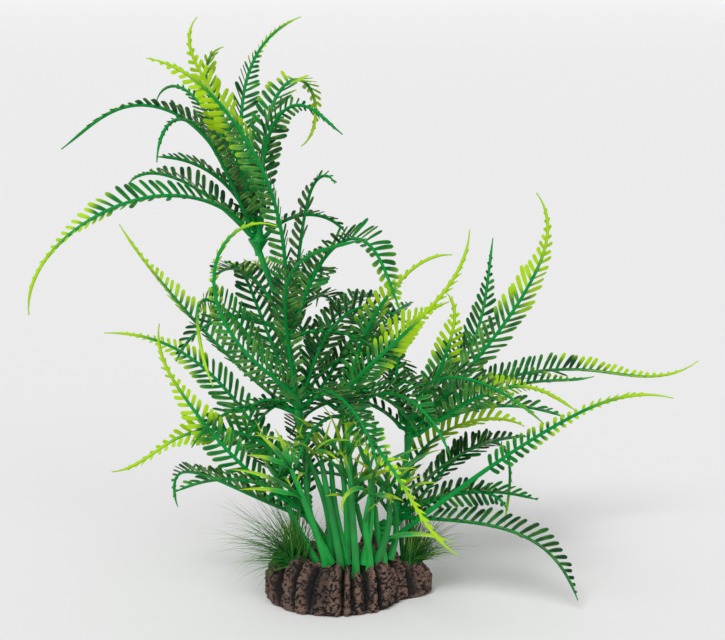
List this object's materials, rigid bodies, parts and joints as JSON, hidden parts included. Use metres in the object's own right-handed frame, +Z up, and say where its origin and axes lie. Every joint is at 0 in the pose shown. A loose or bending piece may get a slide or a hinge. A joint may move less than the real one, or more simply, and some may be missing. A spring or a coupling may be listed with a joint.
{
  "type": "artificial aquarium fern plant",
  "caption": "Plastic aquarium plant: fern fronds in rosettes on upright stems, with strap grass and hair grass in a ridged rock base.",
  "frame": {"origin": "centre of the base's flat foot, on the surface it stands on", "axes": "+X along the plant's widest spread, +Y to the back, +Z up"},
  "size_m": [0.3443, 0.1916, 0.2971],
  "materials": {
    "rock": "matte, brown and black speckled",
    "stem": "satin, mid green",
    "frond": "satin, dark green fading to lime at the tips",
    "strap_grass": "satin, bright green with lime tips",
    "hair_grass": "satin, mid green"
  },
  "bodies": {
    "root": {"centre_frond_1": "frond", "centre_frond_2": "frond", "centre_frond_3": "frond", "centre_frond_4": "frond", "centre_frond_5": "frond", "centre_frond_6": "frond", "centre_stem": "stem", "crown_frond_1": "frond", "crown_frond_10": "frond", "crown_frond_2": "frond", "crown_frond_3": "frond", "crown_frond_4": "frond", "crown_frond_5": "frond", "crown_frond_6": "frond", "crown_frond_7": "frond", "crown_frond_8": "frond", "crown_frond_9": "frond", "foot_frond_1": "frond", "hair_grass_left": "hair_grass", "hair_grass_right": "hair_grass", "low_left_frond_1": "frond", "low_left_frond_2": "frond", "low_left_frond_3": "frond", "low_left_frond_4": "frond", "low_right_frond_1": "frond", "low_right_frond_2": "frond", "low_right_frond_3": "frond", "low_right_frond_4": "frond", "lower_frond_1": "frond", "lower_frond_2": "frond", "lower_frond_3": "frond", "lower_frond_4": "frond", "lower_frond_5": "frond", "lower_frond_6": "frond", "lower_frond_7": "frond", "lower_frond_8": "frond", "lower_frond_9": "frond", "middle_frond_1": "frond", "middle_frond_2": "frond", "middle_frond_3": "frond", "middle_frond_4": "frond", "middle_frond_5": "frond", "right_frond_1": "frond", "right_frond_2": "frond", "right_frond_3": "frond", "right_frond_4": "frond", "right_frond_5": "frond", "right_frond_6": "frond", "right_frond_7": "frond", "right_frond_8": "frond", "right_stem": "stem", "rock_base": "rock", "strap_grass_1": "strap_grass", "strap_grass_2": "strap_grass", "strap_grass_3": "strap_grass", "strap_grass_4": "strap_grass", "strap_grass_5": "strap_grass", "tall_stem": "stem"}
  },
  "joints": []
}
